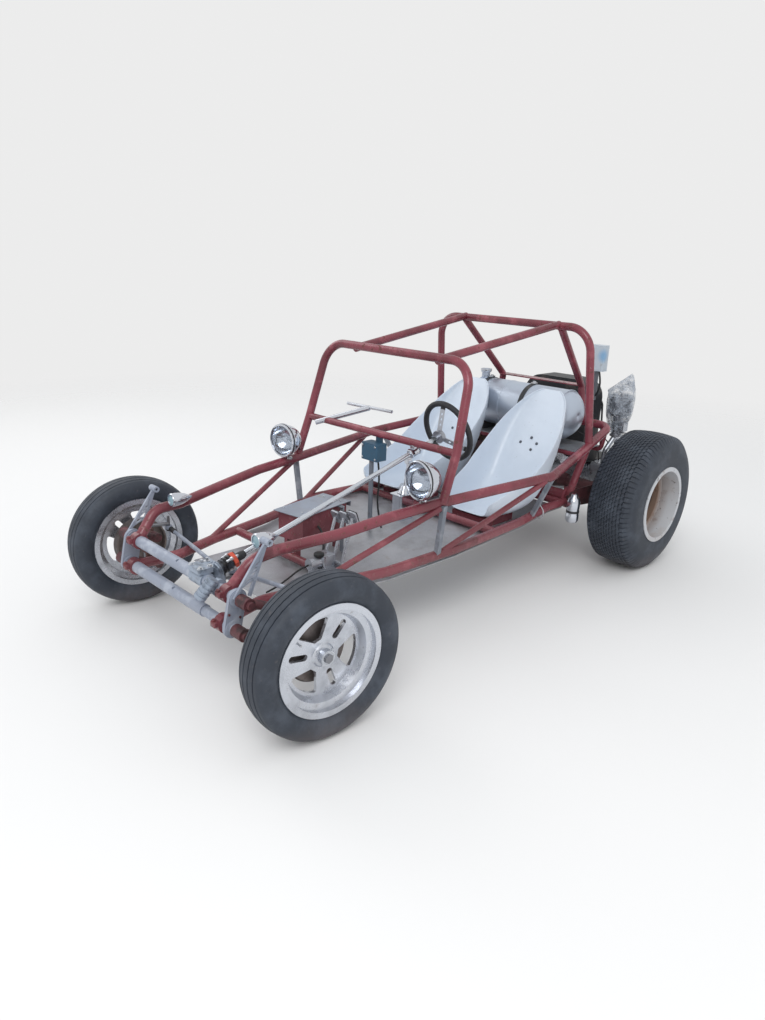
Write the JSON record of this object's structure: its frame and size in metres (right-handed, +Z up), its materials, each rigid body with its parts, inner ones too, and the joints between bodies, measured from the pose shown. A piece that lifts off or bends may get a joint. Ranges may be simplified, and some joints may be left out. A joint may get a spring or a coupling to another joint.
{
  "type": "dune buggy",
  "caption": "Two-seat tube-frame dune buggy with a twin-tube front beam, roll cage, scoop seats, transverse tank and rear engine; its wheels turn and the front pair steers.",
  "frame": {"origin": "centre of the footprint on the floor", "axes": "+Z up, -Y forward (towards the front beam), +X to the driver's left"},
  "size_m": [1.5896, 3.2491, 1.3218],
  "materials": {
    "bare_steel": "dull",
    "black_rubber": "satin",
    "black_steel": "satin",
    "blue_box": "faded",
    "cast_aluminium": "weathered",
    "chrome": "polished",
    "clear_glass": "clear",
    "dark_grey": "satin",
    "grey_beam": "matt, scratched",
    "grey_primer": "matt primer",
    "red_paint": "gloss, worn",
    "rusty_iron": "rusty",
    "sheet_aluminium": "dull, speckled",
    "tyre": "dusty",
    "white_plastic": "gloss",
    "white_shell": "gloss",
    "white_steel": "rust-stained"
  },
  "bodies": {
    "chassis": {"air_cleaners": "dark_grey", "battery_box": "red_paint", "battery_lid": "sheet_aluminium", "breather_bottle": "white_plastic", "carburettors": "cast_aluminium", "column_bearing": "chrome", "engine_block": "cast_aluminium", "engine_cylinders": "cast_aluminium", "exhaust": "rusty_iron", "fan_shroud": "black_steel", "floor_pan": "sheet_aluminium", "front_beam": "grey_beam", "front_hoop": "red_paint", "fuel_tank": "sheet_aluminium", "gear_shifter": "chrome", "grab_handle": "chrome", "kingpin_carriers": "rusty_iron", "lamp_lenses": "clear_glass", "lamps": "chrome", "lower_frame": "red_paint", "pedal_cluster": "cast_aluminium", "rear_braces": "red_paint", "rear_deck": "sheet_aluminium", "rear_hoop": "red_paint", "rear_subframe": "red_paint", "roof_tubes": "red_paint", "seat_bases": "red_paint", "seat_left": "white_shell", "seat_right": "white_shell", "shock_towers": "grey_beam", "side_diagonals": "red_paint", "side_uprights": "grey_primer", "steering_box": "cast_aluminium", "swing_axles": "rusty_iron", "switch_box": "blue_box", "tank_straps": "black_steel", "torsion_housing": "red_paint", "trailing_arms": "rusty_iron", "transaxle": "cast_aluminium", "upper_rail": "red_paint"},
    "wheel_front_left": {"front_tyre_left": "tyre", "front_rim_left": "cast_aluminium", "front_drum_left": "grey_beam"},
    "wheel_front_right": {"front_tyre_right": "tyre", "front_rim_right": "cast_aluminium", "front_drum_right": "grey_beam"},
    "wheel_rear_left": {"rear_tyre_left": "tyre", "rear_rim_left": "white_steel", "rear_drum_left": "rusty_iron"},
    "wheel_rear_right": {"rear_tyre_right": "tyre", "rear_rim_right": "white_steel", "rear_drum_right": "rusty_iron"},
    "steered_left": {"knuckle_left": "rusty_iron"},
    "steered_right": {"knuckle_right": "rusty_iron"},
    "drop_arm": {"drop_arm": "bare_steel"},
    "tie_rod_left": {"tie_rod_left": "grey_beam"},
    "tie_rod_right": {"tie_rod_right": "grey_beam"},
    "steering_column": {"steering_shaft": "chrome", "steering_wheel": "black_rubber"}
  },
  "joints": [
    {"name": "steer_left", "type": "hinge", "parent": "chassis", "child": "steered_left", "pos_m": [0.555, -1.3185, 0.324], "axis": [0, 0, 1], "range_deg": [-25, 35]},
    {"name": "steer_right", "type": "hinge", "parent": "chassis", "child": "steered_right", "pos_m": [-0.555, -1.3185, 0.324], "axis": [0, 0, 1], "range_deg": [-25, 35]},
    {"name": "drop_arm_turn", "type": "hinge", "parent": "chassis", "child": "drop_arm", "pos_m": [0.12, -1.4165, 0.398], "axis": [0, 0, 1], "range_deg": [-25, 35]},
    {"name": "tie_rod_left_turn", "type": "hinge", "parent": "drop_arm", "child": "tie_rod_left", "pos_m": [0.12915, -1.3119, 0.416], "axis": [0, 0, 1], "range_deg": [-35, 25]},
    {"name": "tie_rod_right_turn", "type": "hinge", "parent": "drop_arm", "child": "tie_rod_right", "pos_m": [0.12915, -1.3119, 0.38], "axis": [0, 0, 1], "range_deg": [-35, 25]},
    {"name": "steering_column_turn", "type": "hinge", "parent": "chassis", "child": "steering_column", "pos_m": [0.19, -1.3385, 0.49], "axis": [0.0601, 0.9498, 0.307], "range_deg": [-300, 420]},
    {"name": "wheel_front_left_spin", "type": "hinge", "parent": "steered_left", "child": "wheel_front_left", "pos_m": [0.70044, -1.33122, 0.3], "axis": [0.9962, -0.0872, 0], "continuous": true},
    {"name": "wheel_front_right_spin", "type": "hinge", "parent": "steered_right", "child": "wheel_front_right", "pos_m": [-0.70044, -1.30578, 0.3], "axis": [0.9962, -0.0872, 0], "continuous": true},
    {"name": "wheel_rear_left_spin", "type": "hinge", "parent": "chassis", "child": "wheel_rear_left", "pos_m": [0.637, 0.9985, 0.376], "axis": [1, 0, 0], "continuous": true},
    {"name": "wheel_rear_right_spin", "type": "hinge", "parent": "chassis", "child": "wheel_rear_right", "pos_m": [-0.637, 0.9985, 0.376], "axis": [1, 0, 0], "continuous": true}
  ],
  "couplings": [
    {"joint": "steer_right", "follows": "steer_left", "ratio": 1},
    {"joint": "drop_arm_turn", "follows": "steer_left", "ratio": 1},
    {"joint": "tie_rod_left_turn", "follows": "steer_left", "ratio": -1},
    {"joint": "tie_rod_right_turn", "follows": "steer_left", "ratio": -1},
    {"joint": "steering_column_turn", "follows": "steer_left", "ratio": 12}
  ]
}
